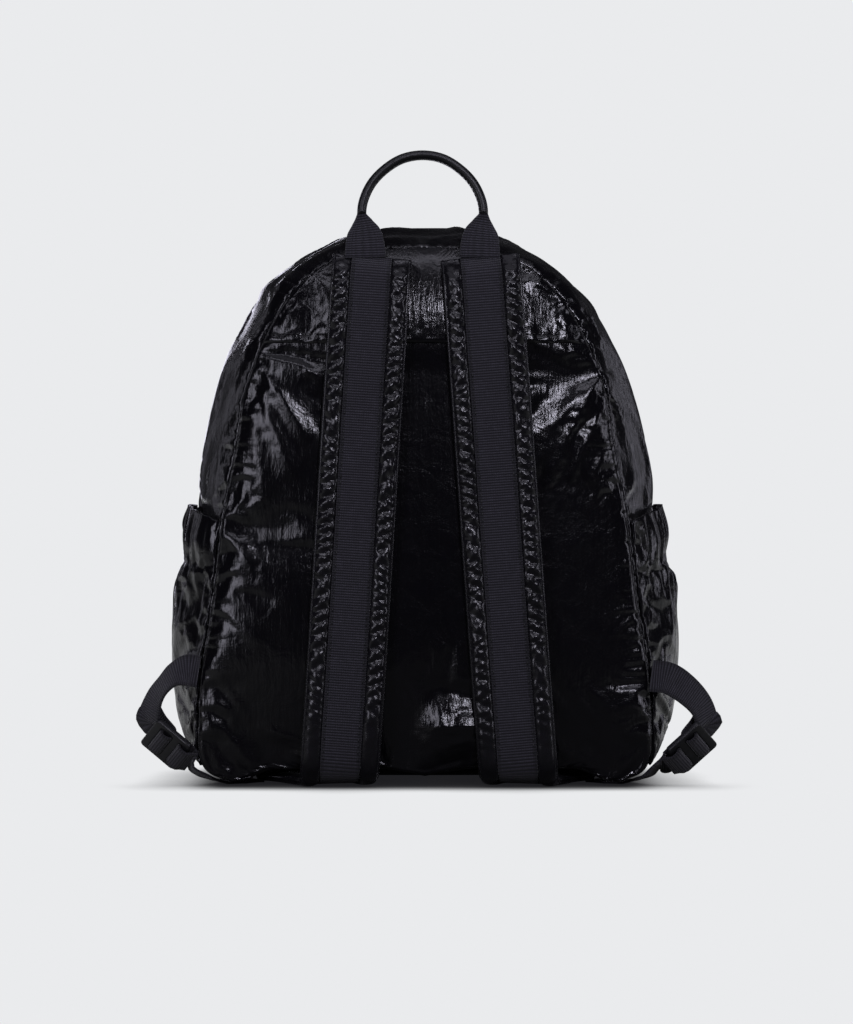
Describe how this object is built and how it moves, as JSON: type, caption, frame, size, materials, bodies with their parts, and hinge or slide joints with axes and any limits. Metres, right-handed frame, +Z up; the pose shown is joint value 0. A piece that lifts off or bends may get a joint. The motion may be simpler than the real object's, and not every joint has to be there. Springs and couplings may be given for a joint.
{
  "type": "mini backpack",
  "caption": "Small puffed nylon backpack standing on its base, with a top handle, padded gathered shoulder straps, gathered side pockets and webbing loops with ladder locks.",
  "frame": {"origin": "on the floor, under the middle of the bag's bounding box", "axes": "+X across the bag to the right as its back faces the viewer, +Y from the back with the straps to the front, +Z up"},
  "size_m": [0.2924, 0.1312, 0.3202],
  "materials": {
    "nylon": "coated black nylon with a soft gloss and fine creases",
    "webbing": "matte ribbed black webbing",
    "handle_cloth": "smooth black cloth, stitched along the inner edge",
    "zip_tape": "matte black tape",
    "lock_plastic": "moulded black plastic with a satin sheen"
  },
  "bodies": {
    "root": {"back_panel": "nylon", "back_yoke": "nylon", "gusset": "nylon", "base_panel": "nylon", "front_panel": "nylon", "side_pocket_left": "nylon", "side_pocket_right": "nylon", "strap_pad_left": "nylon", "strap_pad_right": "nylon", "strap_webbing_left": "webbing", "strap_webbing_right": "webbing", "strap_tail_left": "webbing", "strap_tail_right": "webbing", "adjuster_webbing_left": "webbing", "adjuster_webbing_right": "webbing", "handle_webbing": "webbing", "handle_wrap": "handle_cloth", "main_zip": "zip_tape", "ladder_lock_left": "lock_plastic", "ladder_lock_right": "lock_plastic"}
  },
  "joints": []
}
